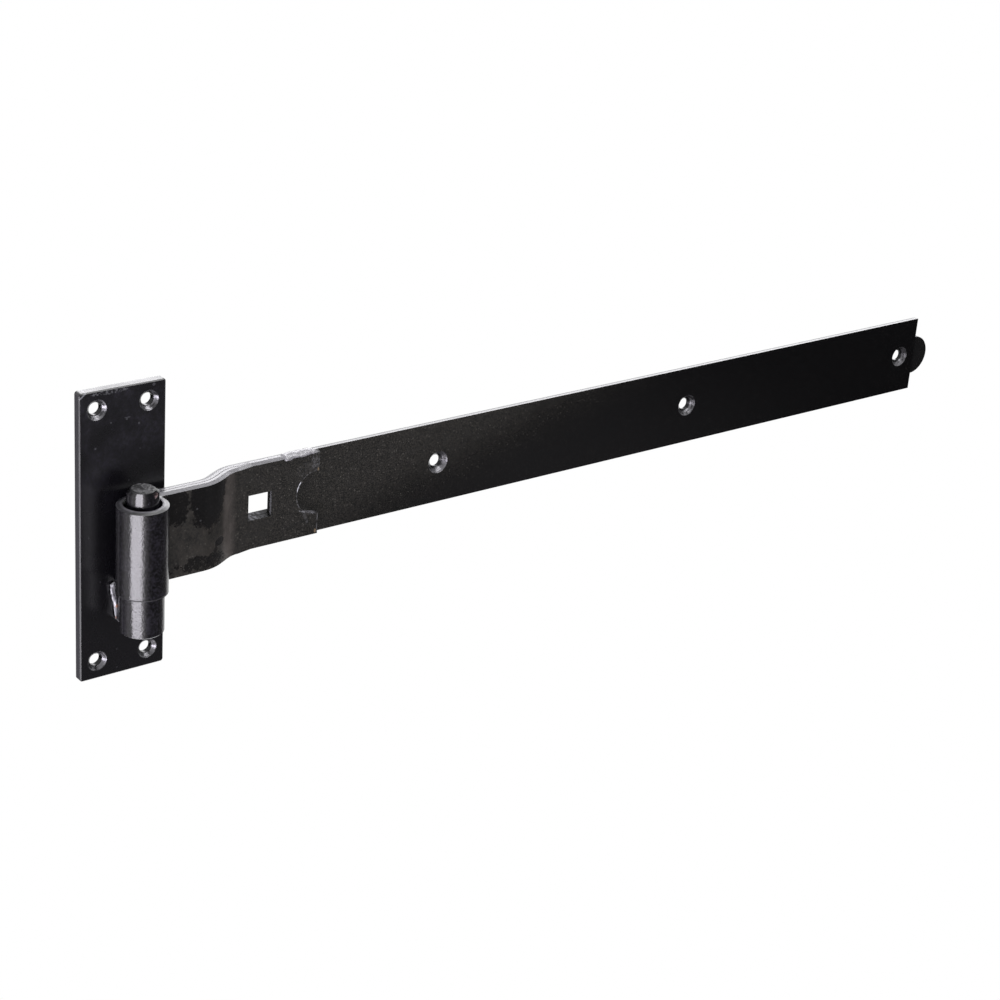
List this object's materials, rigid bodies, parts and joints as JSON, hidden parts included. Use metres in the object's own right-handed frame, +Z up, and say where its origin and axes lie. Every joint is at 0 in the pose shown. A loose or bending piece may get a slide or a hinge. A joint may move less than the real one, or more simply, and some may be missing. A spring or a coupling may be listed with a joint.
{
  "type": "cranked hook and band hinge",
  "caption": "Gate hinge: a long cranked steel band, rolled into an eye and folded back, drops over an upright pin that stands on a countersunk hook plate.",
  "frame": {"origin": "centre of the hook plate's back face, which lies on the post", "axes": "+X along the closed band, away from the pin; +Y out of the plate's back face, into the post; +Z up along the pin"},
  "size_m": [0.639, 0.0371, 0.1646],
  "materials": {
    "plate_paint": "gloss black paint over hot-rolled flat bar",
    "hook_paint": "semi-gloss black paint over a turned and forged pin",
    "band_paint": "gloss black paint with a light dusting of overspray",
    "bare_weld": "bare weld metal with a spot of rust",
    "painted_weld": "thin black paint over rough weld metal"
  },
  "bodies": {
    "hook": {"plate": "plate_paint", "hook_pin": "hook_paint", "collar_weld_left": "bare_weld", "collar_weld_right": "bare_weld"},
    "strap": {"band": "band_paint", "fold_weld": "painted_weld", "limb_weld": "painted_weld"}
  },
  "joints": [
    {"name": "strap_swing", "type": "hinge", "parent": "hook", "child": "strap", "pos_m": [0.0015, -0.0233, -0.0011], "axis": [0, 0, 1], "range_deg": [-180, 10]}
  ]
}
